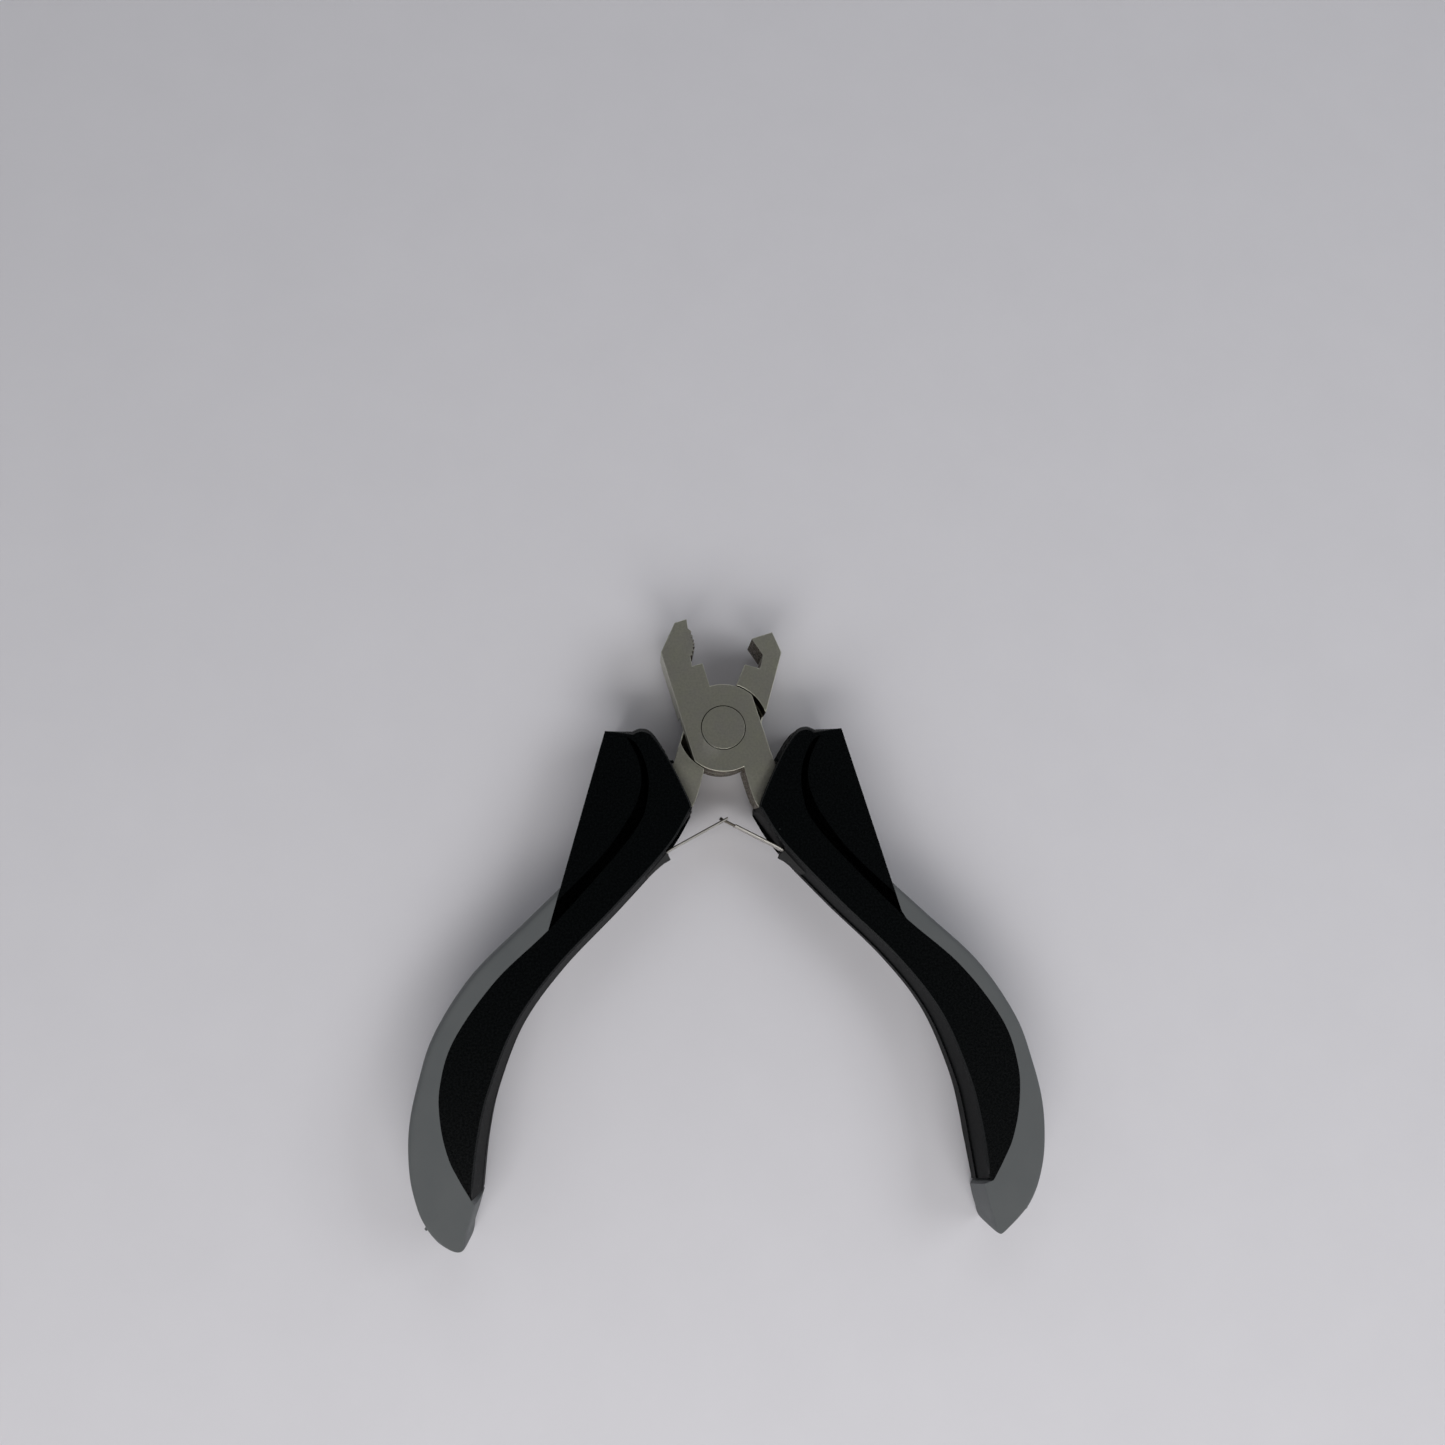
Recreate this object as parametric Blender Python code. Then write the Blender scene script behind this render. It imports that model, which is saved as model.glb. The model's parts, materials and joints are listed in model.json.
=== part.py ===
"""Hand pliers with a notched, hooked mouth, two-colour grips and a pair of linked leaf springs.

Both halves are drawn with the pliers closed, in millimetres from the pivot axis: X across, Y towards the
jaws and Z up from the table. Each half is then opened about the pivot, on its own empty. The upper half has
its jaw at -X and its handle at +X; the lower half is its mirror image, turned over.
"""

import math

import bmesh
import bpy
from mathutils import Vector

MM = 0.001

# Driving sizes, in millimetres and degrees.
PIVOT_Y = 36.54
OPEN_HALF = 16.0
GRIP_THICK = 12.5
HEAD_THICK = 9.3
MIDDLE = GRIP_THICK / 2
HEAD_LOW = MIDDLE - HEAD_THICK / 2
HEAD_HIGH = MIDDLE + HEAD_THICK / 2
# Heights that a cutter reaches to clear the whole tool.
CLEAR_BELOW = -2.0
CLEAR_ABOVE = 14.5

# Lap joint and rivet.
LAP_RADIUS = 8.62
RECESS_RADIUS = 8.84
LAP_GAP = 0.12
LAP_ARC_START = 90.8
FLAT_X = 7.3
RIVET_HEAD_RADIUS = 4.3
RIVET_HEAD_DEEP = 2.2
SHANK_RADIUS = 2.8
TAIL_RADIUS = 3.5
TAIL_DEEP = 1.4
RUNNING_GAP = 0.08
ROUND_SIDES = 72

# Tang inside the grip. Its half thickness is given at distances along Y from the pivot.
TANG_FIT = 0.25
TANG_HALF_THICK = ((-8.0, 4.75), (-17.0, 3.9), (-30.0, 2.8), (-80.0, 2.2))

# Grips.
WALL_DRAFT_TOP = 0.9
WALL_DRAFT_UNDER = 0.25
FLANK_DRAFT_SHARE = 0.3
GRIP_SEAM = 0.15
SEAM_LEAN = 0.45
SEAM_LEAN_FROM = -20.0
SEAM_LEAN_FULL = -60.0
# How far the seam slants down the handle across the tail's inner side, by side, and where that fades out.
TAIL_DROP = {1: 3.0, -1: 0.0}
TAIL_DROP_X = (27.5, 23.0)
TAIL_DROP_Y = (-88.0, -94.0)
TAIL_DROP_END_Y = (-102.5, -95.0)
CUSHION_SQUARENESS = 3.5
CUSHION_LEVELS = (-1.0, -0.96, -0.8, -0.45, 0.45, 0.8, 0.96, 1.0)

# Leaf springs, in the closed half's own frame.
LEAF_HINGE = (4.1, -25.6)
LEAF_THICK = 0.45
LEAF_WIDTH = 4.0
LEAF_FREE_ANGLE = 136.4
LEAF_ROOT_ANGLE = 122.4
LEAF_FOLDED_ANGLE = 109.7
LEAF_ROOT_LONG = 8.0
LEAF_ROOT_GAP = 0.15
ROOT_SLOT_CLEAR = 0.12
ROOT_SLOT_END_CLEAR = 0.5
SLOT_START = 11.15
SLOT_END = 12.87
SLOTTED_LEAF_END = 13.2
SLOT_WIDTH = 2.0
TONGUE_SHOULDER = 10.1
TONGUE_WIDTH = 1.3
TONGUE_HEAD_START = 12.9
TONGUE_END = 13.3
TONGUE_HEAD_WIDTH = 2.8
CHANNEL_CLEAR = 0.5
CHANNEL_WIDTH = 8.6
CHANNEL_REACH = 6.0

# Serrations of the upper jaw.
TOOTH_PITCH = 0.85
TOOTH_DEEP = 0.48
TOOTH_SLOPE_SHARE = 0.72

# Outlines of the closed half, in millimetres. The jaws stand at -X and everything behind the pivot at +X.
UPPER_TIP = ((-FLAT_X, 17.8), (-3.0, 22.75), (-0.5, 22.8))
UPPER_SEAT = ((-2.3, 13.4), (-0.1, 13.4))
HOOKED_JAW = (
    (-FLAT_X, 17.6),
    (-4.5, 21.1),
    (-0.9, 18.7),
    (-4.0, 16.0),
    (-4.0, 13.3),
    (-0.9, 13.3),
    (-0.35, 9.2),
)
SERRATED_EDGE = ((-0.35, 20.9), (-0.3, 19.3), (-0.35, 18.0), (-0.6, 16.9), (-1.3, 15.7), (-2.2, 14.7))
FLANK = (
    (1.95, -16.8),
    (2.8, -15.5),
    (5.5, -12.3),
    (8.4, -9.1),
    (11.0, -6.5),
    (13.4, -4.65),
    (15.4, -4.55),
    (16.9, -5.6),
)
SEAM = (
    (17.3, -6.95),
    (15.4, -7.75),
    (13.1, -10.3),
    (11.3, -13.7),
    (10.5, -17.7),
    (10.7, -21.9),
    (13.6, -29.2),
    (21.6, -44.7),
    (28.9, -56.6),
    (33.2, -68.5),
    (33.3, -77.0),
    (31.3, -83.3),
    (28.2, -88.6),
    (25.1, -91.9),
    (22.1, -94.6),
)
INNER_WALL = (
    (1.95, -16.8),
    (4.3, -25.0),
    (10.8, -38.0),
    (18.2, -51.4),
    (22.8, -63.5),
    (24.1, -76.0),
    (23.5, -85.0),
    (21.8, -94.4),
)
# The cushion's outer edge down the handle, then round the tail of each side. The third number is how far the
# edge rounds in towards the two faces.
CUSHION_EDGE = (
    (17.5, -7.15, 0.1),
    (16.3, -8.9, 0.5),
    (15.1, -11.1, 1.0),
    (14.1, -14.0, 1.4),
    (13.9, -17.2, 1.6),
    (14.6, -21.6, 1.6),
    (17.9, -30.2, 1.6),
    (26.3, -44.7, 1.6),
    (33.3, -56.8, 1.6),
    (36.9, -68.5, 1.6),
    (37.2, -77.6, 1.6),
    (36.4, -85.6, 1.6),
    (34.0, -93.0, 1.6),
    (31.0, -98.1, 1.5),
)
TAILS = {
    1: (
        (28.0, -101.3, 1.3),
        (25.4, -103.0, 1.0),
        (22.8, -104.3, 0.7),
        (20.7, -104.9, 0.45),
        (19.5, -104.7, 0.45),
        (19.1, -103.7, 0.45),
        (19.3, -101.6, 0.6),
        (19.6, -98.6, 0.6),
        (20.3, -95.0, 0.5),
    ),
    -1: (
        (28.4, -100.9, 1.3),
        (25.8, -102.8, 1.0),
        (23.4, -103.5, 0.6),
        (21.9, -103.5, 0.4),
        (21.0, -102.9, 0.4),
        (21.0, -101.6, 0.4),
        (21.1, -100.2, 0.5),
        (20.9, -98.0, 0.6),
        (20.8, -94.8, 0.5),
    ),
}
TANG_INNER = (
    (1.5, -8.2),
    (1.5, -14.0),
    (1.9, -16.5),
    (3.2, -19.5),
    (6.2, -26.5),
    (13.3, -40.5),
    (20.9, -55.5),
    (25.2, -70.0),
)
TANG_OUTER = (
    (7.5, -8.6),
    (8.0, -12.0),
    (8.5, -15.0),
    (9.0, -19.5),
    (11.0, -26.5),
    (18.0, -40.5),
    (25.2, -54.0),
    (28.6, -70.0),
)
LEAF_LIP = (
    (5.6, -26.3),
    (4.0, -26.3),
    (3.25, -27.15),
    (4.3, -28.2),
    (5.4, -29.8),
    (6.5, -31.6),
    (7.8, -31.6),
)
LEAF_LIP_HALF_WIDTH = 2.2

# Points along each smooth line.
TANG_SAMPLES = 36
FLANK_SAMPLES = 26
SEAM_SAMPLES = 56
WALL_SAMPLES = 36
CUSHION_SAMPLES = 84
SERRATION_SAMPLES = 60
LAP_SAMPLES = 18


def clear_scene():
    for obj in list(bpy.data.objects):
        bpy.data.objects.remove(obj)


def make_material(name, color, metallic, roughness):
    material = bpy.data.materials.new(name)
    material.use_nodes = True
    shader = material.node_tree.nodes["Principled BSDF"]
    shader.inputs["Base Color"].default_value = (*color, 1.0)
    shader.inputs["Metallic"].default_value = metallic
    shader.inputs["Roughness"].default_value = roughness
    return material


def make_empty(name, location, angle=0.0, parent=None):
    """An empty on a joint's axis; angle in degrees turns it about Z."""
    empty = bpy.data.objects.new(name, None)
    bpy.context.scene.collection.objects.link(empty)
    empty.empty_display_size = 5 * MM
    empty.location = Vector(location) * MM
    empty.rotation_euler = (0.0, 0.0, math.radians(angle))
    empty.parent = parent
    return empty


def loft(name, rings, material=None, parent=None):
    """A closed solid through rings of equally many points, given in millimetres, with flat end caps."""
    mesh = bmesh.new()
    loops = [[mesh.verts.new(Vector(point) * MM) for point in ring] for ring in rings]
    count = len(loops[0])
    for below, above in zip(loops, loops[1:]):
        for i in range(count):
            j = (i + 1) % count
            mesh.faces.new((below[i], below[j], above[j], above[i]))
    mesh.faces.new(loops[0][::-1])
    mesh.faces.new(loops[-1])
    bmesh.ops.recalc_face_normals(mesh, faces=mesh.faces)
    data = bpy.data.meshes.new(name)
    mesh.to_mesh(data)
    mesh.free()
    data.shade_smooth()
    data.set_sharp_from_angle(angle=math.radians(30))
    obj = bpy.data.objects.new(name, data)
    bpy.context.scene.collection.objects.link(obj)
    obj.parent = parent
    if material:
        data.materials.append(material)
    return obj


def prism(name, outline, low, high, material=None, parent=None):
    """A flat outline raised from low to high."""
    rings = [[(x, y, z) for x, y in outline] for z in (low, high)]
    return loft(name, rings, material, parent)


def turned(name, profile, material=None, parent=None):
    """A round solid about Z through (radius, height) pairs."""
    angles = [2 * math.pi * i / ROUND_SIDES for i in range(ROUND_SIDES)]
    rings = [[(r * math.cos(a), r * math.sin(a), z) for a in angles] for r, z in profile]
    return loft(name, rings, material, parent)


def add_boolean(obj, other, operation):
    """Joins or cuts obj with a helper that is itself left out of the model."""
    other.hide_render = True
    other.display_type = "WIRE"
    modifier = obj.modifiers.new(other.name, "BOOLEAN")
    modifier.operation = operation
    modifier.solver = "EXACT"
    modifier.object = other


def cut(obj, cutter):
    add_boolean(obj, cutter, "DIFFERENCE")


def curve(points, count):
    """Points evenly numbered along a Catmull-Rom curve through the given points."""
    points = [Vector(point) for point in points]
    padded = [2 * points[0] - points[1], *points, 2 * points[-1] - points[-2]]
    samples = []
    for i in range(count):
        place = i * (len(points) - 1) / (count - 1)
        k = min(int(place), len(points) - 2)
        t = place - k
        a, b, c, d = padded[k : k + 4]
        tangent_b = (c - a) / 2
        tangent_c = (d - b) / 2
        start = b * (2 * t**3 - 3 * t**2 + 1) + tangent_b * (t**3 - 2 * t**2 + t)
        finish = c * (3 * t**2 - 2 * t**3) + tangent_c * (t**3 - t**2)
        samples.append(start + finish)
    return samples


def arc(radius, start, stop, count):
    """Points on a circle about the pivot, angles in degrees."""
    angles = [math.radians(start + (stop - start) * i / (count - 1)) for i in range(count)]
    return [Vector((radius * math.cos(a), radius * math.sin(a))) for a in angles]


def shifted(points, distances):
    """An open line moved to its left, by one distance or by one for each point."""
    if not isinstance(distances, list):
        distances = [distances] * len(points)
    moved = []
    for i, (point, distance) in enumerate(zip(points, distances)):
        along = points[min(i + 1, len(points) - 1)] - points[max(i - 1, 0)]
        along.normalize()
        moved.append(point + distance * Vector((-along.y, along.x)))
    return moved


def mirrored(outline):
    return [Vector((-x, y)) for x, y in outline]


def serrated_edge():
    """The toothed inner edge of the upper jaw, from its tip down: each tooth slopes out and steps back in."""
    base = curve(SERRATED_EDGE, SERRATION_SAMPLES)
    length = sum((b - a).length for a, b in zip(base, base[1:]))
    teeth = round(length / TOOTH_PITCH)
    points = []
    for i in range(teeth):
        for share, deep in ((0.0, TOOTH_DEEP), (TOOTH_SLOPE_SHARE, 0.0)):
            place = (i + share) * (len(base) - 1) / teeth
            k = min(int(place), len(base) - 2)
            point = base[k].lerp(base[k + 1], place - k)
            along = (base[k + 1] - base[k]).normalized()
            points.append(point + deep * Vector((along.y, -along.x)))
    return points


def upper_jaw():
    """From the outer bevel of the tip, down the serrated edge, to the step behind the mouth."""
    return [*UPPER_TIP, *serrated_edge(), *UPPER_SEAT]


def lever_outline(jaw):
    """The whole steel half seen from above: jaw, lap disc with its two flats, and tang."""
    jaw = [Vector(point) for point in jaw]
    flat_angle = math.degrees(math.acos(FLAT_X / LAP_RADIUS))
    heel_angle = math.degrees(math.atan2(TANG_INNER[0][1], TANG_INNER[0][0]))
    inner = curve(TANG_INNER, TANG_SAMPLES)
    outer = curve(TANG_OUTER, TANG_SAMPLES)
    upper_arc = arc(LAP_RADIUS, LAP_ARC_START, flat_angle, LAP_SAMPLES)
    lower_arc = arc(LAP_RADIUS, heel_angle, -180 + flat_angle, LAP_SAMPLES)
    return [*jaw, *upper_arc, *outer, *reversed(inner[1:]), *lower_arc]


def half_thickness(y):
    """Half the tang's thickness at a distance behind the pivot."""
    for (near, thick), (far, thin) in zip(TANG_HALF_THICK, TANG_HALF_THICK[1:]):
        if y >= far:
            return thick + (thin - thick) * min(1.0, max(0.0, (near - y) / (near - far)))
    return TANG_HALF_THICK[-1][1]


def thin_tang(lever, parent):
    """Slopes the tang's top and bottom faces away towards its end."""
    sideways = abs(TANG_HALF_THICK[-1][0])
    for side, word in ((1, "top"), (-1, "bottom")):
        slope = [(y, MIDDLE + side * half) for y, half in TANG_HALF_THICK]
        back = [(slope[-1][0], MIDDLE + side * GRIP_THICK), (slope[0][0], MIDDLE + side * GRIP_THICK)]
        rings = [[(x, y, z) for y, z in slope + back] for x in (-sideways, sideways)]
        cut(lever, loft(f"{lever.name}_{word}_slope", rings, parent=parent))


def make_levers(steel, upper, lower):
    outline = lever_outline(upper_jaw())
    upper_lever = prism("upper_lever", outline, HEAD_LOW, HEAD_HIGH, steel, upper)
    outline = mirrored(lever_outline(HOOKED_JAW))
    lower_lever = prism("lower_lever", outline, HEAD_LOW, HEAD_HIGH, steel, lower)

    # Each half gives up half its thickness around the pivot to the other.
    under = MIDDLE + LAP_GAP / 2
    over = MIDDLE - LAP_GAP / 2
    profile = [(RECESS_RADIUS, CLEAR_BELOW), (RECESS_RADIUS, under)]
    cut(upper_lever, turned("upper_recess", profile, parent=upper))
    profile = [(RECESS_RADIUS, over), (RECESS_RADIUS, CLEAR_ABOVE)]
    cut(lower_lever, turned("lower_recess", profile, parent=lower))

    head_low = HEAD_HIGH - RIVET_HEAD_DEEP - RUNNING_GAP
    head_hole = RIVET_HEAD_RADIUS + RUNNING_GAP
    bore = SHANK_RADIUS + RUNNING_GAP
    sink = [(bore, CLEAR_BELOW), (bore, head_low), (head_hole, head_low), (head_hole, CLEAR_ABOVE)]
    cut(upper_lever, turned("rivet_head_hole", sink, parent=upper))
    tail = TAIL_RADIUS + RUNNING_GAP
    tail_high = HEAD_LOW + TAIL_DEEP
    sink = [(tail, CLEAR_BELOW), (tail, HEAD_LOW), (bore, tail_high), (bore, CLEAR_ABOVE)]
    cut(lower_lever, turned("rivet_tail_hole", sink, parent=lower))
    thin_tang(upper_lever, upper)
    thin_tang(lower_lever, lower)


def make_rivet(steel, lower):
    """One solid pin: a flat head sunk in the upper half and a tail spread into the lower one."""
    head_low = HEAD_HIGH - RIVET_HEAD_DEEP
    profile = [
        (TAIL_RADIUS, HEAD_LOW),
        (SHANK_RADIUS, HEAD_LOW + TAIL_DEEP),
        (SHANK_RADIUS, head_low),
        (RIVET_HEAD_RADIUS, head_low),
        (RIVET_HEAD_RADIUS, HEAD_HIGH),
    ]
    turned("pivot_rivet", profile, steel, lower)


def leaned(points, level):
    """The seam at a level of -1 to 1 between the grip's two faces: it leans outwards as the level rises."""
    moved = []
    for point, out in zip(points, shifted(points, 1.0)):
        share = (SEAM_LEAN_FROM - point.y) / (SEAM_LEAN_FROM - SEAM_LEAN_FULL)
        moved.append(point + (out - point) * SEAM_LEAN * level * min(1.0, max(0.0, share)))
    return moved


def share_between(value, start, end):
    """How far a value has gone from start to end, held between 0 and 1."""
    return min(1.0, max(0.0, (value - start) / (end - start)))


def dropped(points, level, side):
    """Points at the tail's inner corner, moved down the handle the lower the level is."""
    moved = []
    for point in points:
        share = share_between(point.x, *TAIL_DROP_X) * share_between(point.y, *TAIL_DROP_Y)
        share *= share_between(point.y, *TAIL_DROP_END_Y)
        moved.append(point - Vector((0.0, TAIL_DROP[side] * share * (1.0 - level) / 2)))
    return moved


def core_outline(draft, level, side):
    """The black core from above, its exposed sides moved out by the draft."""
    flank = shifted(curve(FLANK, FLANK_SAMPLES), draft * FLANK_DRAFT_SHARE)
    seam = shifted(leaned(curve(SEAM, SEAM_SAMPLES), side * level), -GRIP_SEAM / 2)
    wall = shifted(curve(INNER_WALL, WALL_SAMPLES)[::-1], draft)
    return [*flank, *dropped(seam, level, side), *dropped(wall[:-1], level, side)]


def tang_pocket(name, side, parent):
    """The space for the tang, a little larger than the tang all round."""
    rings = []
    for a, b in zip(curve(TANG_INNER, TANG_SAMPLES), curve(TANG_OUTER, TANG_SAMPLES)):
        across = (b - a).normalized() * TANG_FIT
        a, b = a - across, b + across
        reach_a = half_thickness(a.y) + TANG_FIT
        reach_b = half_thickness(b.y) + TANG_FIT
        corners = [(a, reach_a), (b, reach_b), (b, -reach_b), (a, -reach_a)]
        rings.append([(side * point.x, point.y, MIDDLE + reach) for point, reach in corners])
    end = [(x, y - 1.0, z) for x, y, z in rings[-1]]
    return loft(name, [*rings, end], parent=parent)


def leaf_channel(name, side, parent):
    """The shallow channel in the inner wall that the folded leaf lies in."""
    angle = math.radians(LEAF_FOLDED_ANGLE)
    along = Vector((math.cos(angle), math.sin(angle)))
    inwards = Vector((along.y, -along.x)) * CHANNEL_CLEAR
    hinge = Vector(LEAF_HINGE)
    near = hinge + inwards
    far = near + along * SLOTTED_LEAF_END
    floor_y = hinge.y - CHANNEL_CLEAR
    outside = [Vector((-CHANNEL_REACH, far.y)), Vector((-CHANNEL_REACH, floor_y))]
    outline = [Vector((near.x, floor_y)), near, far, *outside]
    outline = outline if side > 0 else mirrored(outline)
    return prism(name, outline, MIDDLE - CHANNEL_WIDTH / 2, MIDDLE + CHANNEL_WIDTH / 2, parent=parent)


def leaf_slot(name, side, parent):
    """The narrow slot that the leaf's root is pressed into."""
    angle = math.radians(LEAF_ROOT_ANGLE - 180.0)
    along = Vector((math.cos(angle), math.sin(angle)))
    across = Vector((-along.y, along.x)) * (LEAF_THICK / 2 + ROOT_SLOT_CLEAR)
    mouth = Vector(LEAF_HINGE) - along
    end = Vector(LEAF_HINGE) + along * (LEAF_ROOT_LONG + ROOT_SLOT_END_CLEAR)
    outline = [mouth + across, mouth - across, end - across, end + across]
    outline = outline if side > 0 else mirrored(outline)
    reach = LEAF_WIDTH / 2 + ROOT_SLOT_CLEAR
    return prism(name, outline, MIDDLE - reach, MIDDLE + reach, parent=parent)


def make_core(name, side, plastic, parent):
    """The black grip core: a drafted bar, widest at its parting line, with a lip under the leaf's mouth."""
    rings = []
    for level, draft in ((-1, WALL_DRAFT_TOP - WALL_DRAFT_UNDER), (0, WALL_DRAFT_TOP), (1, 0.0)):
        outline = core_outline(draft, level, side)
        rings.append([(side * x, y, MIDDLE * (1 + level)) for x, y in outline])
    core = loft(name, rings, plastic, parent)
    outline = LEAF_LIP if side > 0 else mirrored(LEAF_LIP)
    low, high = MIDDLE - LEAF_LIP_HALF_WIDTH, MIDDLE + LEAF_LIP_HALF_WIDTH
    add_boolean(core, prism(f"{name}_lip", outline, low, high, parent=parent), "UNION")
    cut(core, tang_pocket(f"{name}_pocket", side, parent))
    cut(core, leaf_channel(f"{name}_channel", side, parent))
    cut(core, leaf_slot(f"{name}_slot", side, parent))
    return core


def cushion_inset(level):
    """The share of its full rounding by which the cushion's edge lies in, at a height of -1 to 1."""
    return 1.0 - (1.0 - abs(level) ** CUSHION_SQUARENESS) ** (1.0 / CUSHION_SQUARENESS)


def make_cushion(name, side, rubber, parent):
    """The grey cushion that wraps the handle's outer edge and makes its tail."""
    seam = shifted(curve(SEAM, SEAM_SAMPLES), GRIP_SEAM / 2)
    edge = curve(CUSHION_EDGE + TAILS[side], CUSHION_SAMPLES)
    line = [point.xy for point in edge]
    rings = []
    for level in CUSHION_LEVELS:
        insets = [-point.z * cushion_inset(level) for point in edge]
        outline = dropped(leaned(seam, side * level) + shifted(line, insets)[::-1], level, side)
        rings.append([(side * point.x, point.y, MIDDLE * (1 + level)) for point in outline])
    loft(name, rings, rubber, parent)


def make_leaf(name, outline, steel, parent):
    """A flat spring strip; its outline is (distance along, height) and it lies along its hinge's X."""
    rings = [[(s, y, z) for s, z in outline] for y in (-LEAF_THICK / 2, LEAF_THICK / 2)]
    return loft(name, rings, steel, parent)


def strip(start, end, half):
    return [(start, -half), (end, -half), (end, half), (start, half)]


def make_springs(steel, upper, lower):
    """Two leaves that hook together by a tongue in a slot, each with its root pressed into a grip."""
    half = LEAF_WIDTH / 2
    root = strip(-LEAF_ROOT_LONG, -LEAF_ROOT_GAP, half)
    hinge_x, hinge_y = LEAF_HINGE
    for word, side, parent in (("right", 1, upper), ("left", -1, lower)):
        place = (side * hinge_x, hinge_y, MIDDLE)
        root_angle = 90.0 + side * (LEAF_ROOT_ANGLE - 90.0)
        free_angle = 90.0 + side * (LEAF_FREE_ANGLE - 90.0)
        seat = make_empty(f"{word}_root_seat", place, root_angle, parent)
        make_leaf(f"{word}_spring_root", root, steel, seat)
        hinge = make_empty(f"{word}_leaf_hinge", place, free_angle, parent)
        if side > 0:
            neck = TONGUE_WIDTH / 2
            head = TONGUE_HEAD_WIDTH / 2
            edge = [(LEAF_ROOT_GAP, half), (TONGUE_SHOULDER, half), (TONGUE_SHOULDER, neck)]
            edge += [(TONGUE_HEAD_START, neck), (TONGUE_HEAD_START, head), (TONGUE_END, head)]
            outline = edge + [(s, -z) for s, z in reversed(edge)]
            make_leaf("right_spring_leaf", outline, steel, hinge)
        else:
            leaf = make_leaf("left_spring_leaf", strip(LEAF_ROOT_GAP, SLOTTED_LEAF_END, half), steel, hinge)
            slot = strip(SLOT_START, SLOT_END, SLOT_WIDTH / 2)
            rings = [[(s, y, z) for s, z in slot] for y in (-1.0, 1.0)]
            cut(leaf, loft("left_leaf_slot", rings, parent=hinge))


def main():
    clear_scene()
    steel = make_material("satin_steel", (0.11, 0.108, 0.095), 1.0, 0.42)
    spring_steel = make_material("bright_spring_steel", (0.45, 0.43, 0.4), 1.0, 0.28)
    plastic = make_material("black_plastic", (0.006, 0.007, 0.008), 0.0, 0.6)
    rubber = make_material("grey_rubber", (0.1, 0.105, 0.11), 0.0, 0.7)
    upper = make_empty("upper_half", (0.0, PIVOT_Y, 0.0), OPEN_HALF)
    lower = make_empty("lower_half", (0.0, PIVOT_Y, 0.0), -OPEN_HALF)
    make_levers(steel, upper, lower)
    make_rivet(steel, lower)
    make_springs(spring_steel, upper, lower)
    for word, side, parent in (("right", 1, upper), ("left", -1, lower)):
        make_core(f"{word}_grip_core", side, plastic, parent)
        make_cushion(f"{word}_grip_cushion", side, rubber, parent)


main()
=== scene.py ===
"""The looks of the notched-jaw crimping pliers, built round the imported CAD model.

Each half is drawn as in the CAD: closed, in millimetres from the pivot axis, X across, Y towards the jaws
and Z up from the table. half_matrix() then opens it and puts it in the row frame. The upper half (side +1)
has its handle at +X; the lower half (side -1) is its mirror image.
"""

import json
import math

import bmesh
import bpy
from mathutils import Matrix, Vector


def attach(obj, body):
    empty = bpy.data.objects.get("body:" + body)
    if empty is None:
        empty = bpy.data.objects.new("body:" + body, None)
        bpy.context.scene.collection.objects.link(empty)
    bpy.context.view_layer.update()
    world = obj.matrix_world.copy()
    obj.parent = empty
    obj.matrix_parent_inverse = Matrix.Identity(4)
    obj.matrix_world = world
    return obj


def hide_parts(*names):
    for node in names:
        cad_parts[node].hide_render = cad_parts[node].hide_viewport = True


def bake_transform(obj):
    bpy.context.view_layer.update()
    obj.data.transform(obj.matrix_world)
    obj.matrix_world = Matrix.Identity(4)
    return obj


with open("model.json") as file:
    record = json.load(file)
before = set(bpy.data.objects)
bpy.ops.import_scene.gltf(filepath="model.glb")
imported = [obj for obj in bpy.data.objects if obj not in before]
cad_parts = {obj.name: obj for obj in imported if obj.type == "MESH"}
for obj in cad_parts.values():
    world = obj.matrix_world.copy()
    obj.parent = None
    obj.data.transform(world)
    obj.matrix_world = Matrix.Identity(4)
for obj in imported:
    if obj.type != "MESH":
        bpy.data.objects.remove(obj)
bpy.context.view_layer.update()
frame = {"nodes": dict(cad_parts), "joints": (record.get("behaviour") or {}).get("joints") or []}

MM = 0.001
PIVOT = Vector(frame["joints"][0]["pos_m"])
OPEN_HALF = 16.0
GRIP_THICK = 12.5
MIDDLE = GRIP_THICK / 2

# Steel.
EDGE_BREAK = 0.12
LAP_EDGE_BREAK = 0.24
TOOTH_EDGE_BREAK = 0.03
# Where the fine teeth are in the closed drawing, across and along.
TEETH_X = (-2.8, 0.1)
TEETH_Y = (14.5, 21.1)
SHARP_ANGLE = 25.0
CAD_WELD_DISTANCE = 0.01
CAD_FLAT_ANGLE = 0.4
WELD_DISTANCE = 0.004
HEAD_LOW = 1.6
HEAD_HIGH = 10.9
RIVET_HEAD_RADIUS = 4.2
RECESS_RADIUS = 8.84
RIVET_HEAD_DEEP = 2.2
RIVET_CHAMFER = 0.04
SHANK_RADIUS = 2.8
TAIL_RADIUS = 3.5
TAIL_DEEP = 1.4
ROUND_SIDES = 144
# The jaws' outer sides stay satin: left of the first line, or past the second and left of the third.
JAW_OUTER_X = -6.9
JAW_NOSE_Y = 17.7
JAW_NOSE_X = -2.6
LAP_END_Y = -12.0

# Grips.
WALL_DRAFT_TOP = 0.9
WALL_DRAFT_UNDER = 0.25
FLANK_DRAFT_SHARE = 0.3
SEAM_GAP = 0.03
SEAM_LEAN = 0.45
SEAM_LEAN_FROM = -20.0
SEAM_LEAN_FULL = -60.0
WALL_CHAMFER = 0.3
CHAMFER_FADE_Y = (-94.4, -92.0)
FLANK_EDGE_ROUND = 0.35
HORN_EDGE_ROUND = 0.9
PARTING_LEVEL = -0.2
PARTING_STEPS = {1: 0.32, -1: 0.08}
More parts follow.
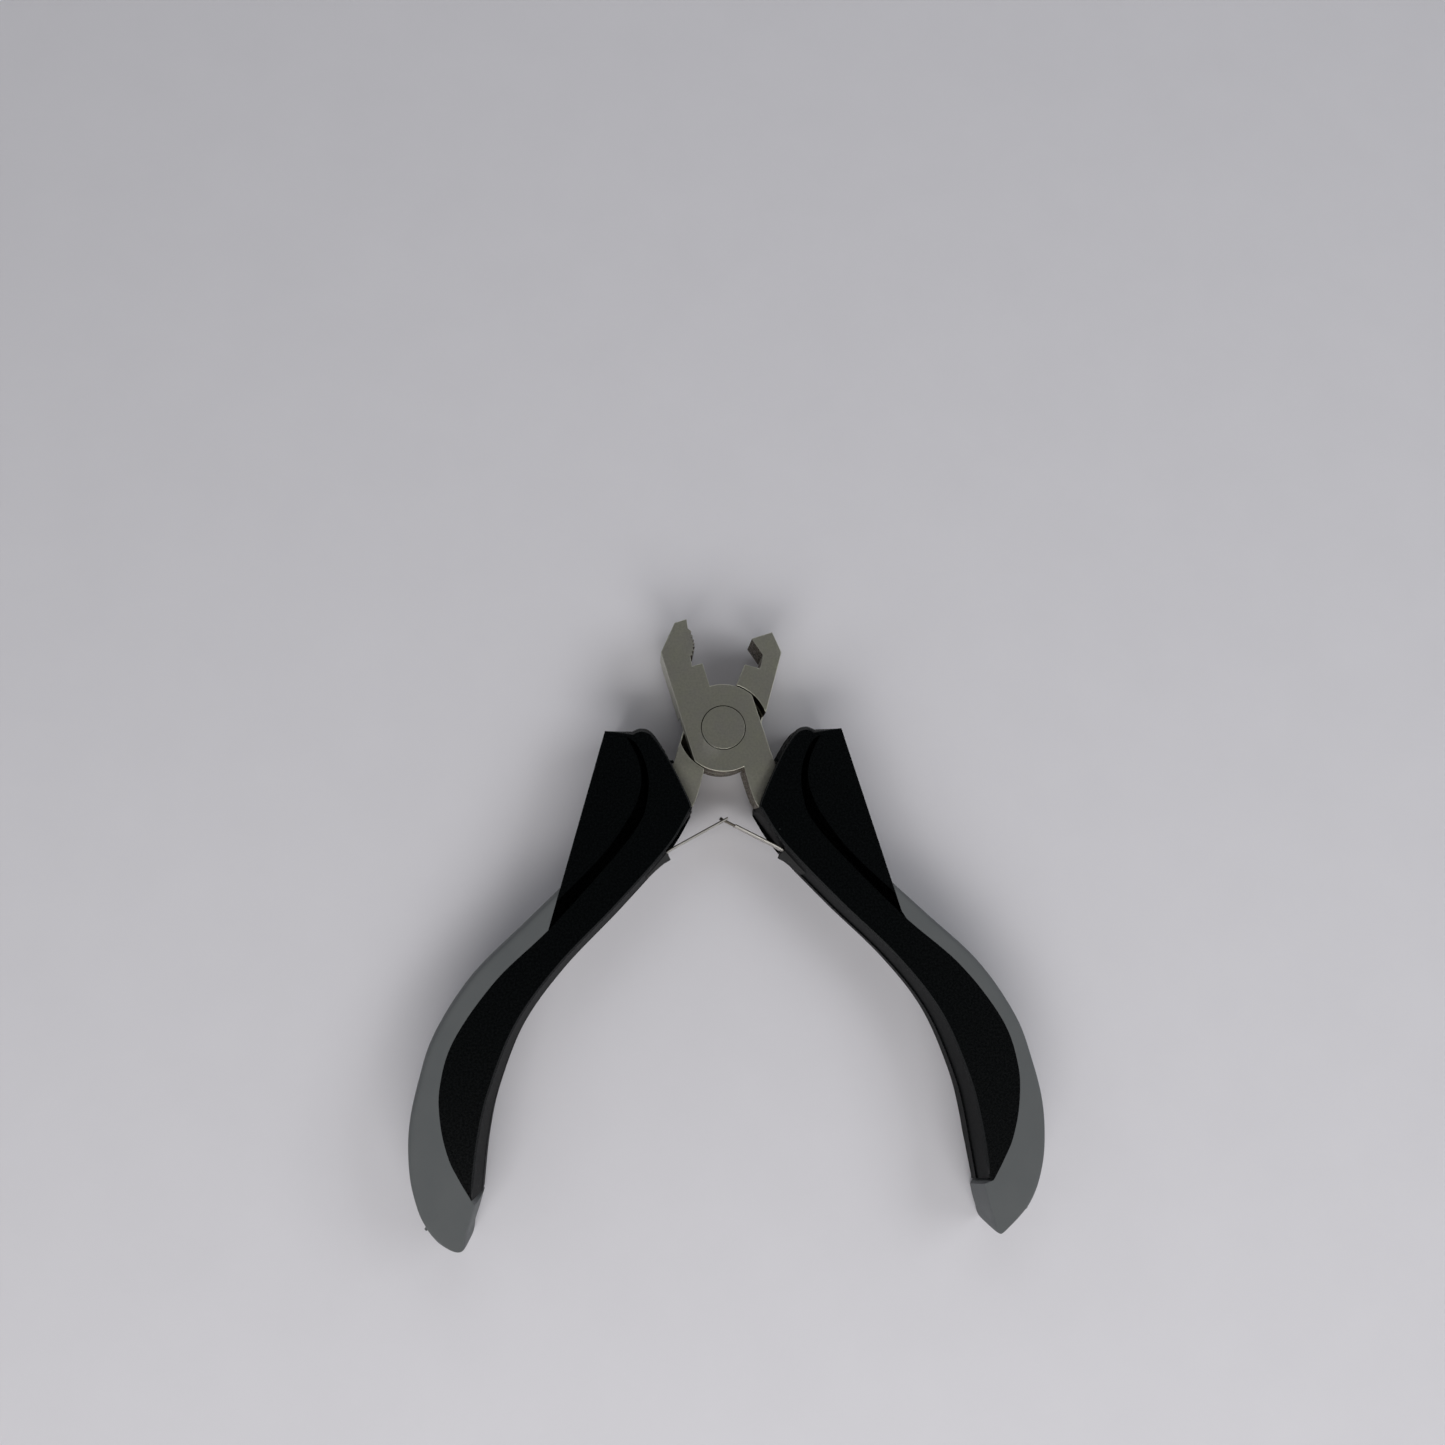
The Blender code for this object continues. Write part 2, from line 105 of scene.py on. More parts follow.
# How far the seam slants down the handle across the tail's inner side, by side, and where that fades out.
TAIL_DROP = {1: 3.0, -1: 0.0}
TAIL_DROP_X = (27.5, 23.0)
TAIL_DROP_Y = (-88.0, -94.0)
TAIL_DROP_END_Y = (-102.5, -95.0)
CUSHION_SQUARENESS = 3.5
CUSHION_SHARP_ANGLE = 35.0

# Leaf springs, in the closed half's own frame.
LEAF_HINGE = (4.1, -25.6)
LEAF_THICK = 0.45
LEAF_WIDTH = 4.0
LEAF_FREE_ANGLE = 136.4
LEAF_ROOT_ANGLE = 122.4
LEAF_FOLDED_ANGLE = 109.7
LEAF_ROOT_LONG = 8.0
LEAF_BEND_HALF = 1.5
LEAF_SHARP_ANGLE = 30.0
SLOT_START = 11.15
SLOT_END = 12.87
SLOTTED_LEAF_END = 13.2
SLOT_WIDTH = 2.0
TONGUE_SHOULDER = 10.1
TONGUE_WIDTH = 1.3
TONGUE_HEAD_START = 12.9
TONGUE_END = 13.3
TONGUE_HEAD_WIDTH = 2.8
CHANNEL_CLEAR = 0.5
CHANNEL_WIDTH = 11.4
CHANNEL_REACH = 6.0
LEAF_SLOT_FIT = 0.12

# Outlines of the closed half at +X, in millimetres.
FLANK = (
    (1.95, -16.8),
    (2.8, -15.5),
    (5.5, -12.3),
    (8.4, -9.1),
    (11.0, -6.5),
    (13.4, -4.65),
    (15.4, -4.55),
    (16.9, -5.6),
)
SEAM = (
    (17.3, -6.95),
    (15.4, -7.75),
    (13.1, -10.3),
    (11.3, -13.7),
    (10.5, -17.7),
    (10.7, -21.9),
    (13.6, -29.2),
    (21.6, -44.7),
    (28.9, -56.6),
    (33.2, -68.5),
    (33.3, -77.0),
    (31.3, -83.3),
    (28.2, -88.6),
    (25.1, -91.9),
    (22.1, -94.6),
)
INNER_WALL = (
    (1.95, -16.8),
    (4.3, -25.0),
    (10.8, -38.0),
    (18.2, -51.4),
    (22.8, -63.5),
    (24.1, -76.0),
    (23.5, -85.0),
    (21.8, -94.4),
)
# The cushion's outer edge down the handle, then round the tail of each side. The third number is how far the
# edge rounds in towards the two faces.
CUSHION_EDGE = (
    (17.5, -7.15, 0.1),
    (16.3, -8.9, 0.5),
    (15.1, -11.1, 1.0),
    (14.1, -14.0, 1.4),
    (13.9, -17.2, 1.6),
    (14.6, -21.6, 1.6),
    (17.9, -30.2, 1.6),
    (26.3, -44.7, 1.6),
    (33.3, -56.8, 1.6),
    (36.9, -68.5, 1.6),
    (37.2, -77.6, 1.6),
    (36.4, -85.6, 1.6),
    (34.0, -93.0, 1.6),
    (31.0, -98.1, 1.5),
)
TAILS = {
    1: (
        (28.0, -101.2, 1.3),
        (25.4, -102.7, 1.0),
        (22.8, -103.8, 0.7),
        (20.9, -104.4, 0.45),
        (20.2, -104.2, 0.45),
        (19.9, -103.4, 0.45),
        (19.95, -101.6, 0.6),
        (20.0, -98.6, 0.6),
        (20.3, -95.0, 0.5),
    ),
    -1: (
        (28.4, -100.9, 1.3),
        (25.8, -102.6, 1.0),
        (23.3, -103.3, 0.6),
        (21.6, -103.3, 0.4),
        (20.7, -102.7, 0.4),
        (20.7, -101.5, 0.4),
        (20.9, -100.1, 0.5),
        (20.8, -98.0, 0.6),
        (20.8, -94.8, 0.5),
    ),
}
TANG_INNER = ((1.5, -8.2), (1.5, -14.0), (1.9, -16.5), (3.2, -19.5), (6.2, -26.5))
TANG_OUTER = ((7.5, -8.6), (8.0, -12.0), (8.5, -15.0), (9.0, -19.5), (11.0, -26.5))
TANG_HALF_THICK = 4.75
TANG_FIT = 0.12
TANG_THIN_FROM = -17.0
TANG_THIN_RATE = 0.16
LEAF_LIP = (
    (5.6, -26.3),
    (4.0, -26.3),
    (3.25, -27.15),
    (4.3, -28.2),
    (5.4, -29.8),
    (6.5, -31.6),
    (7.8, -31.6),
)
LEAF_LIP_HALF_WIDTH = 2.2
# Broken-off moulding stubs: where each ends and the angle that it points along.
HORN_NUB = ((17.5, -5.25, 7.6), 50.0)
FLANK_NUB = ((7.7, -9.0, 11.6), 138.0)
TAIL_NUBS = {1: ((27.7, -103.1, 7.6), -60.0), -1: ((28.6, -102.2, 7.6), -60.0)}
NUB_LONG = 2.0
NUB_ROOT_HALF = 0.7
NUB_TIP = (-0.2, 0.3)
NUB_HALF_HIGH = 0.45
FLANK_SAMPLES = 60
SEAM_SAMPLES = 110
WALL_SAMPLES = 90
CUSHION_SAMPLES = 150
CUSHION_STEPS = 28
TANG_SAMPLES = 24

# Stage.
FLOOR_RADIUS = 4.0
CAMERA_OFFSET = (-0.01666, -0.03319)
CAMERA_HEIGHT = 0.21846
CAMERA_ANGLES = (9.428, -4.32, -1.375)


# ---------------------------------------------------------------- lines


def curve(points, count):
    """Points evenly numbered along a Catmull-Rom curve through the given points."""
    points = [Vector(point) for point in points]
    padded = [2 * points[0] - points[1], *points, 2 * points[-1] - points[-2]]
    samples = []
    for i in range(count):
        place = i * (len(points) - 1) / (count - 1)
        k = min(int(place), len(points) - 2)
        t = place - k
        a, b, c, d = padded[k : k + 4]
        tangent_b = (c - a) / 2
        tangent_c = (d - b) / 2
        start = b * (2 * t**3 - 3 * t**2 + 1) + tangent_b * (t**3 - 2 * t**2 + t)
        finish = c * (3 * t**2 - 2 * t**3) + tangent_c * (t**3 - t**2)
        samples.append(start + finish)
    return samples


def shifted(points, distances):
    """An open line moved to its left, by one distance or by one for each point."""
    if not isinstance(distances, (list, tuple)):
        distances = [distances] * len(points)
    moved = []
    for i, (point, distance) in enumerate(zip(points, distances)):
        along = points[min(i + 1, len(points) - 1)] - points[max(i - 1, 0)]
        along.normalize()
        moved.append(point + distance * Vector((-along.y, along.x)))
    return moved


def share_between(value, start, end):
    """How far a value has gone from start to end, held between 0 and 1."""
    return min(1.0, max(0.0, (value - start) / (end - start)))


def smooth_step(value, start, end):
    share = share_between(value, start, end)
    return share * share * (3 - 2 * share)


def heading(degrees):
    """The unit vector that points along an angle from +X."""
    return Vector((math.cos(math.radians(degrees)), math.sin(math.radians(degrees))))


def half_matrix(side):
    """Turns a closed half's drawing, in millimetres, into its place in the row frame."""
    turn = Matrix.Rotation(math.radians(side * OPEN_HALF), 4, "Z")
    to_metres = Matrix.Diagonal((side * MM, MM, MM, 1.0))
    return Matrix.Translation((PIVOT.x, PIVOT.y, 0.0)) @ turn @ to_metres


# ---------------------------------------------------------------- meshes


def mesh_object(name, mesh, sharp=SHARP_ANGLE):
    """A scene object from a bmesh, its faces pointing out and smooth up to the sharp angle, in degrees."""
    bmesh.ops.recalc_face_normals(mesh, faces=mesh.faces)
    data = bpy.data.meshes.new(name)
    mesh.to_mesh(data)
    mesh.free()
    data.shade_smooth()
    data.set_sharp_from_angle(angle=math.radians(sharp))
    obj = bpy.data.objects.new(name, data)
    bpy.context.scene.collection.objects.link(obj)
    return obj


def loft(name, rings, matrix=None, sharp=SHARP_ANGLE):
    """A closed solid through rings of equally many points, with flat end caps."""
    mesh = bmesh.new()
    loops = [[mesh.verts.new(point) for point in ring] for ring in rings]
    count = len(loops[0])
    for below, above in zip(loops, loops[1:]):
        for i in range(count):
            j = (i + 1) % count
            mesh.faces.new((below[i], below[j], above[j], above[i]))
    mesh.faces.new(loops[0][::-1])
    mesh.faces.new(loops[-1])
    if matrix:
        mesh.transform(matrix)
    return mesh_object(name, mesh, sharp)


def prism(name, outline, low, high, matrix):
    return loft(name, [[(x, y, z) for x, y in outline] for z in (low, high)], matrix)


def turned(name, profile, matrix):
    """A round solid about Z through (radius, height) pairs."""
    angles = [2 * math.pi * i / ROUND_SIDES for i in range(ROUND_SIDES)]
    rings = [[(r * math.cos(a), r * math.sin(a), z) for a in angles] for r, z in profile]
    return loft(name, rings, matrix)


def baked(obj):
    """Applies an object's modifiers to its mesh."""
    bpy.context.view_layer.update()
    graph = bpy.context.evaluated_depsgraph_get()
    mesh = bpy.data.meshes.new_from_object(obj.evaluated_get(graph))
    obj.modifiers.clear()
    obj.data = mesh
    return obj


def combine(obj, helpers):
    """Joins or cuts obj with helpers, as (object, operation) pairs, removes them and welds the result."""
    for helper, operation in helpers:
        modifier = obj.modifiers.new(helper.name, "BOOLEAN")
        modifier.operation = operation
        modifier.solver = "EXACT"
        modifier.object = helper
    baked(obj)
    for helper, _ in helpers:
        bpy.data.objects.remove(helper)
    mesh = bmesh.new()
    mesh.from_mesh(obj.data)
    bmesh.ops.remove_doubles(mesh, verts=mesh.verts, dist=WELD_DISTANCE * MM)
    bmesh.ops.dissolve_degenerate(mesh, edges=mesh.edges, dist=WELD_DISTANCE * MM)
    mesh.to_mesh(obj.data)
    mesh.free()
    obj.data.shade_smooth()
    obj.data.set_sharp_from_angle(angle=math.radians(SHARP_ANGLE))
    return obj


# ---------------------------------------------------------------- steel pieces


def keep_faces_flat(obj):
    """Lets the large flat faces set the shading along their own edges."""
    flat = obj.modifiers.new("flat_faces", "WEIGHTED_NORMAL")
    flat.weight = 100
    flat.keep_sharp = True


def edge_break(points, side):
    """How wide the bevel is on the lever's edge between two points, given in the closed drawing."""
    if all(abs(point.z - MIDDLE) < 0.2 for point in points):
        return LAP_EDGE_BREAK
    if all(point.xy.length < RIVET_HEAD_RADIUS + 0.3 for point in points):
        return 0.0
    (left, right), (near, far) = TEETH_X, TEETH_Y
    on_teeth = side > 0 and all(left < point.x < right and near < point.y < far for point in points)
    return TOOTH_EDGE_BREAK if on_teeth else EDGE_BREAK


def face_slot(normal, middle):
    """0 for the satin faces, 1 for the cut sides and 2 for the faces inside the lap joint, which are painted
    dark as shade.
    """
    if abs(normal.z) > 0.5:
        return 2 if HEAD_LOW + 0.5 < middle.z < HEAD_HIGH - 0.5 and middle.y > LAP_END_Y else 0
    if middle.xy.length < RECESS_RADIUS + 0.1 and middle.xy.dot(normal.xy) < 0.0:
        return 2
    outer = middle.x < JAW_OUTER_X or (middle.y > JAW_NOSE_Y and middle.x < JAW_NOSE_X)
    return 0 if outer else 1


def lever(node, name, side, materials):
    """A CAD lever with its flat faces whole and every edge broken by a small bevel."""
    mesh = bmesh.new()
    mesh.from_mesh(frame["nodes"][node].data)
    bmesh.ops.remove_doubles(mesh, verts=mesh.verts, dist=CAD_WELD_DISTANCE * MM)
    flat = math.radians(CAD_FLAT_ANGLE)
    bmesh.ops.dissolve_limit(mesh, angle_limit=flat, verts=mesh.verts, edges=mesh.edges)
    to_drawing = half_matrix(side).inverted()
    mesh.transform(to_drawing)
    mesh.normal_update()
    if side < 0:
        bmesh.ops.reverse_faces(mesh, faces=mesh.faces)
    weights = mesh.edges.layers.float.new("bevel_weight_edge")
    for edge in mesh.edges:
        if edge.is_manifold and edge.calc_face_angle(0.0) > math.radians(SHARP_ANGLE):
            edge[weights] = edge_break([vert.co for vert in edge.verts], side) / LAP_EDGE_BREAK
    for face in mesh.faces:
        face.material_index = face_slot(face.normal, face.calc_center_median())
    mesh.transform(half_matrix(side))
    obj = mesh_object(name, mesh, 180.0)
    for material in materials:
        obj.data.materials.append(material)
    bevel = obj.modifiers.new("edge_break", "BEVEL")
    bevel.limit_method = "WEIGHT"
    bevel.width = LAP_EDGE_BREAK * MM
    bevel.segments = 2
    bevel.use_clamp_overlap = False
    bevel.material = 0
    keep_faces_flat(obj)
    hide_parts(node)
    return obj


def rivet(material):
    """One solid pin: a chamfered flat head sunk in the upper half and a tail spread into the lower one."""
    head_low = HEAD_HIGH - RIVET_HEAD_DEEP
    profile = [
        (TAIL_RADIUS - RIVET_CHAMFER, HEAD_LOW),
        (TAIL_RADIUS, HEAD_LOW + RIVET_CHAMFER),
        (SHANK_RADIUS, HEAD_LOW + TAIL_DEEP),
        (SHANK_RADIUS, head_low),
        (RIVET_HEAD_RADIUS, head_low),
        (RIVET_HEAD_RADIUS, HEAD_HIGH - RIVET_CHAMFER),
        (RIVET_HEAD_RADIUS - RIVET_CHAMFER * 0.4, HEAD_HIGH - RIVET_CHAMFER * 0.35),
        (RIVET_HEAD_RADIUS - RIVET_CHAMFER, HEAD_HIGH),
    ]
    obj = turned("rivet_pin", profile, half_matrix(-1))
    obj.data.materials.append(material)
    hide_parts("pivot_rivet")
    return obj


# ---------------------------------------------------------------- grips


def leaned(points, level):
    """The seam at a level of -1 to 1 between the grip's two faces: it leans outwards as the level rises."""
    moved = []
    for point, out in zip(points, shifted(points, 1.0)):
        share = share_between(point.y, SEAM_LEAN_FROM, SEAM_LEAN_FULL)
        moved.append(point + (out - point) * SEAM_LEAN * level * share)
    return moved


def dropped(points, level, side):
    """Points at the tail's inner corner, moved down the handle the lower the level is."""
    moved = []
    for point in points:
        share = share_between(point.x, *TAIL_DROP_X) * share_between(point.y, *TAIL_DROP_Y)
        share *= share_between(point.y, *TAIL_DROP_END_Y)
        moved.append(point - Vector((0.0, TAIL_DROP[side] * share * (1.0 - level) / 2)))
    return moved


def corner_inset(height, radius):
    """How far a rounded edge lies in from its side, at a height below the face it runs up to."""
    if height >= radius:
        return 0.0
    return radius - math.sqrt(radius**2 - (radius - height) ** 2)


def wall_draft(level, side):
    """How far the inner wall stands out from its top edge; it steps in above the parting line."""
    if level <= PARTING_LEVEL:
        return WALL_DRAFT_TOP + WALL_DRAFT_UNDER * (level - PARTING_LEVEL) / (1.0 + PARTING_LEVEL)
    return (WALL_DRAFT_TOP - PARTING_STEPS[side]) * (1.0 - level) / (1.0 - PARTING_LEVEL)


def core_levels():
    """Levels up the core, close together on its two edges and at the parting line."""
    heights = [0.0, 0.02, 0.06, 0.12, 0.2, 0.3, 0.42, 0.58, 0.76, 0.95]
    below = [-1.0 + height / MIDDLE for height in heights]
    above = [1.0 - height / MIDDLE for height in reversed(heights)]
    step = [PARTING_LEVEL - 0.02, PARTING_LEVEL, PARTING_LEVEL + 0.004, PARTING_LEVEL + 0.03]
    return below + [-0.6] + step + [0.0, 0.3, 0.6] + above


def core_outline(level, side):
    """The black core from above at one level, its exposed sides drafted and their edges broken."""
    draft = wall_draft(level, side)
    height = MIDDLE * (1.0 - abs(level))
    flank = curve(FLANK, FLANK_SAMPLES)
    insets = []
    for i in range(len(flank)):
        share = smooth_step(i / (len(flank) - 1), 0.35, 0.85)
        radius = FLANK_EDGE_ROUND + (HORN_EDGE_ROUND - FLANK_EDGE_ROUND) * share
        insets.append(draft * FLANK_DRAFT_SHARE - corner_inset(height, radius))
    wall = curve(INNER_WALL, WALL_SAMPLES)[::-1]
    chamfer = max(0.0, WALL_CHAMFER - height)
    wall = shifted(wall, [draft - chamfer * share_between(point.y, *CHAMFER_FADE_Y) for point in wall])
    seam = shifted(leaned(curve(SEAM, SEAM_SAMPLES), side * level), -SEAM_GAP / 2)
    # Known fault: this holds the whole seam past the tail's corner, where only its last points
    # need it. The core's upper end covers the cushion because of it.
    seam = [Vector((max(point.x, wall[0].x + SEAM_GAP), point.y)) for point in seam]
    return [*shifted(flank, insets), *dropped(seam, level, side), *dropped(wall[:-1], level, side)]


def leaf_channel(side):
    """The shallow channel in the inner wall that the folded leaf lies in."""
    along = heading(LEAF_FOLDED_ANGLE)
    inwards = Vector((along.y, -along.x)) * CHANNEL_CLEAR
    hinge = Vector(LEAF_HINGE)
    near = hinge + inwards
    far = near + along * SLOTTED_LEAF_END
    floor_y = hinge.y - CHANNEL_CLEAR
    outside = [Vector((-CHANNEL_REACH, far.y)), Vector((-CHANNEL_REACH, floor_y))]
    outline = [Vector((near.x, floor_y)), near, far, *outside]
    half = CHANNEL_WIDTH / 2
    return prism("channel", outline, MIDDLE - half, MIDDLE + half, half_matrix(side))


def leaf_slot(side):
    """The narrow slot that the leaf's root is pressed into."""
    along = heading(LEAF_ROOT_ANGLE - 180.0)
    across = Vector((-along.y, along.x)) * (LEAF_THICK / 2 + LEAF_SLOT_FIT)
    mouth = Vector(LEAF_HINGE) - along
    end = Vector(LEAF_HINGE) + along * (LEAF_ROOT_LONG + 0.5)
    outline = [mouth + across, mouth - across, end - across, end + across]
    half = LEAF_WIDTH / 2 + LEAF_SLOT_FIT
    return prism("slot", outline, MIDDLE - half, MIDDLE + half, half_matrix(side))


def tang_pocket(side):
    """The mouth of the space that the steel tang fills."""
    rings = []
    for a, b in zip(curve(TANG_INNER, TANG_SAMPLES), curve(TANG_OUTER, TANG_SAMPLES)):
        across = (b - a).normalized() * TANG_FIT
        a, b = a - across, b + across
        reach = TANG_HALF_THICK + TANG_FIT
        if a.y < TANG_THIN_FROM:
            reach -= TANG_THIN_RATE * (TANG_THIN_FROM - a.y)
        rings.append([(p.x, p.y, MIDDLE + z) for p, z in ((a, reach), (b, reach), (b, -reach), (a, -reach))])
    return loft("pocket", rings, half_matrix(side))


def gate_nub(place, angle, side):
    """The torn stub of a moulding gate or vent, ending at a place and pointing along an angle in degrees."""
    along = heading(angle)
    across = Vector((-along.y, along.x))
    x, y, z = place
    tip = Vector((x, y))
    root = tip - along * NUB_LONG
    ends = [tip + across * offset for offset in NUB_TIP]
    outline = [root - across * NUB_ROOT_HALF, *ends, root + across * NUB_ROOT_HALF]
    return prism("nub", outline, z - NUB_HALF_HIGH, z + NUB_HALF_HIGH, half_matrix(side))


def grip_core(name, side, materials):
    """The black core: broken edges, a step at the parting line and a lip under the leaf's mouth."""
    rings = []
    for level in core_levels():
        rings.append([(x, y, MIDDLE * (1 + level)) for x, y in core_outline(level, side)])
    core = loft(f"{name}_grip_black", rings, half_matrix(side))
    low, high = MIDDLE - LEAF_LIP_HALF_WIDTH, MIDDLE + LEAF_LIP_HALF_WIDTH
    lip = prism("lip", LEAF_LIP, low, high, half_matrix(side))
    cuts = [(make(side), "DIFFERENCE") for make in (tang_pocket, leaf_channel, leaf_slot)]
    places = [FLANK_NUB] if side > 0 else [FLANK_NUB, HORN_NUB]
    nubs = [(gate_nub(place, angle, side), "UNION") for place, angle in places]
    combine(core, [(lip, "UNION"), *nubs, *cuts])
    core.data.materials.clear()
    for material in materials:
        core.data.materials.append(material)
    # The lip's top face takes the paler copy of the plastic: painted light.
    lip_top = (MIDDLE + LEAF_LIP_HALF_WIDTH) * MM
    for face in core.data.polygons:
        lip_top_painted_light = face.normal.z > 0.9 and abs(face.center.z - lip_top) < 0.3 * MM
        face.material_index = 2 if lip_top_painted_light else (1 if abs(face.normal.z) < 0.35 else 0)
    keep_faces_flat(core)
    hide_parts(f"{name}_grip_core")
    return core


def cushion_inset(level):
    """The share of its full rounding by which the cushion's outer side lies in, at a level of -1 to 1."""
    return 1.0 - (1.0 - abs(level) ** CUSHION_SQUARENESS) ** (1.0 / CUSHION_SQUARENESS)


def grip_cushion(name, side, material):
    """The grey cushion that wraps the handle's outer edge and makes its tail."""
    seam = shifted(curve(SEAM, SEAM_SAMPLES), SEAM_GAP / 2)
    edge = curve(CUSHION_EDGE + TAILS[side], CUSHION_SAMPLES)
    line = [point.xy for point in edge]
    levels = [math.sin(math.pi / 2 * (2 * i / CUSHION_STEPS - 1)) for i in range(CUSHION_STEPS + 1)]
    rings = []
    for level in levels:
        insets = [-point.z * cushion_inset(level) for point in edge]
        outline = dropped(leaned(seam, side * level) + shifted(line, insets)[::-1], level, side)
        rings.append([(point.x, point.y, MIDDLE * (1 + level)) for point in outline])
    cushion = loft(f"{name}_grip_grey", rings, half_matrix(side), CUSHION_SHARP_ANGLE)
    combine(cushion, [(gate_nub(*TAIL_NUBS[side], side), "UNION")])
    cushion.data.materials.clear()
    cushion.data.materials.append(material)
    keep_faces_flat(cushion)
    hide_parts(f"{name}_grip_cushion")
    return cushion


# ---------------------------------------------------------------- springs


def leaf_line(along):
    """A point of the leaf's centre line at a distance from the hinge, and the line's direction there."""
    hinge = Vector(LEAF_HINGE)
    if abs(along) >= LEAF_BEND_HALF:
        direction = heading(LEAF_ROOT_ANGLE if along < 0 else LEAF_FREE_ANGLE)
        return hinge + direction * along, direction
    t = (along + LEAF_BEND_HALF) / (2 * LEAF_BEND_HALF)
    start = hinge - heading(LEAF_ROOT_ANGLE) * LEAF_BEND_HALF
    end = hinge + heading(LEAF_FREE_ANGLE) * LEAF_BEND_HALF
    place = start * (1 - t) ** 2 + hinge * 2 * t * (1 - t) + end * t * t
    return place, heading(LEAF_ROOT_ANGLE + (LEAF_FREE_ANGLE - LEAF_ROOT_ANGLE) * t)


def leaf_half_width(along, side):
    """Half the strip's width at a distance from the hinge: the right leaf narrows to a tongue with a head."""
    if side < 0 or along < TONGUE_SHOULDER:
        return LEAF_WIDTH / 2
    if along < TONGUE_HEAD_START:
        return TONGUE_WIDTH / 2
    return TONGUE_HEAD_WIDTH / 2


def leaf_section(half):
    """The strip across, as (across, height) pairs from its middle: one rounded and one cut flat per edge."""
    thick = LEAF_THICK / 2
    upper = [(-thick, half - 0.04), (-thick + 0.03, half), (-thick + 0.2, half), (thick, half - 0.22)]
    return upper + [(across, -height) for across, height in reversed(upper)]


def leaf_spring(name, side, materials):
    """One whole strip, from the end pressed into the grip to the hooked tip."""
    stations = [-LEAF_ROOT_LONG, -4.0] + [-2.0 + 0.25 * i for i in range(25)] + [6.0, 8.0, 10.0]
    stations.append(TONGUE_END if side > 0 else SLOTTED_LEAF_END)
    if side > 0:
        for step in (TONGUE_SHOULDER, TONGUE_HEAD_START):
            stations += [step - 0.001, step]
    rings = []
    for along in sorted(stations):
        place, direction = leaf_line(along)
        across = Vector((-direction.y, direction.x))
        section = leaf_section(leaf_half_width(along, side))
        rings.append([(*(place + across * s), MIDDLE + z) for s, z in section])
    leaf = loft(f"{name}_leaf_strip", rings, half_matrix(side), LEAF_SHARP_ANGLE)
    if side < 0:
        place, direction = leaf_line((SLOT_START + SLOT_END) / 2)
        along = direction * (SLOT_END - SLOT_START) / 2
        across = Vector((-direction.y, direction.x))
        near, far = place - along, place + along
        outline = [near - across, far - across, far + across, near + across]
        half = SLOT_WIDTH / 2
        slot = prism("leaf_slot", outline, MIDDLE - half, MIDDLE + half, half_matrix(side))
        combine(leaf, [(slot, "DIFFERENCE")])
    leaf.data.materials.clear()
    for material in materials:
        leaf.data.materials.append(material)
    # The flats of the strip's edges and the whole of the right leaf's tongue take the very dark copy: painted
    # shade.
    shoulder = (half_matrix(side) @ leaf_line(TONGUE_SHOULDER - 0.05)[0].to_3d()).x
    for face in leaf.data.polygons:
        tongue_painted_shade = side > 0 and face.center.x < shoulder
        upright = abs(face.normal.z)
        face.material_index = 2 if upright > 0.95 or tongue_painted_shade else (1 if upright > 0.2 else 0)
    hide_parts(f"{name}_spring_leaf", f"{name}_spring_root")
    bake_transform(leaf)
    return leaf


# ---------------------------------------------------------------- materials


def new_material(name, metallic, roughness):
    material = bpy.data.materials.new(name)
    material.use_nodes = True
    shader = material.node_tree.nodes["Principled BSDF"]
    shader.inputs["Metallic"].default_value = metallic
    shader.inputs["Roughness"].default_value = roughness
    return material, shader


def add(material, kind, **values):
    """A new node; a value named for an input sets it, and any other sets a property."""
    node = material.node_tree.nodes.new(kind)
    for key, value in values.items():
        socket = node.inputs.get(key.replace("_", " ").title())
        if socket is None:
            setattr(node, key, value)
        elif isinstance(value, bpy.types.NodeSocket):
            material.node_tree.links.new(value, socket)
        else:
            socket.default_value = value
    return node


def place_on(material, stretch=(1.0, 1.0, 1.0)):
    """The row frame's coordinates, in metres, stretched along each axis."""
    where = add(material, "ShaderNodeTexCoord")
    return add(material, "ShaderNodeMapping", vector=where.outputs["Object"], scale=stretch).outputs[0]


def noise(material, where, scale, detail=3.0, rough=0.5):
    node = add(material, "ShaderNodeTexNoise", vector=where, scale=scale, detail=detail, roughness=rough)
    return node.outputs["Fac"]


def ramp(owner, factor, stops):
    """A colour ramp through (position, colour) stops, in a material or a world."""
    node = owner.node_tree.nodes.new("ShaderNodeValToRGB")
    owner.node_tree.links.new(factor, node.inputs["Fac"])
    elements = node.color_ramp.elements
    while len(elements) < len(stops):
        elements.new(0.5)
    for element, (position, color) in zip(elements, stops):
        element.position = position
        element.color = (*color, 1.0)
    return node.outputs["Color"]


def spread(material, value, low, high, to_low, to_high):
    """A value mapped from one range to another."""
    node = add(material, "ShaderNodeMapRange")
    for key, number in (("From Min", low), ("From Max", high), ("To Min", to_low), ("To Max", to_high)):
        node.inputs[key].default_value = number
    material.node_tree.links.new(value, node.inputs["Value"])
    return node.outputs["Result"]


def bump(material, shader, height, strength, distance):
    node = add(material, "ShaderNodeBump", strength=strength, distance=distance, height=height)
    material.node_tree.links.new(node.outputs["Normal"], shader.inputs["Normal"])


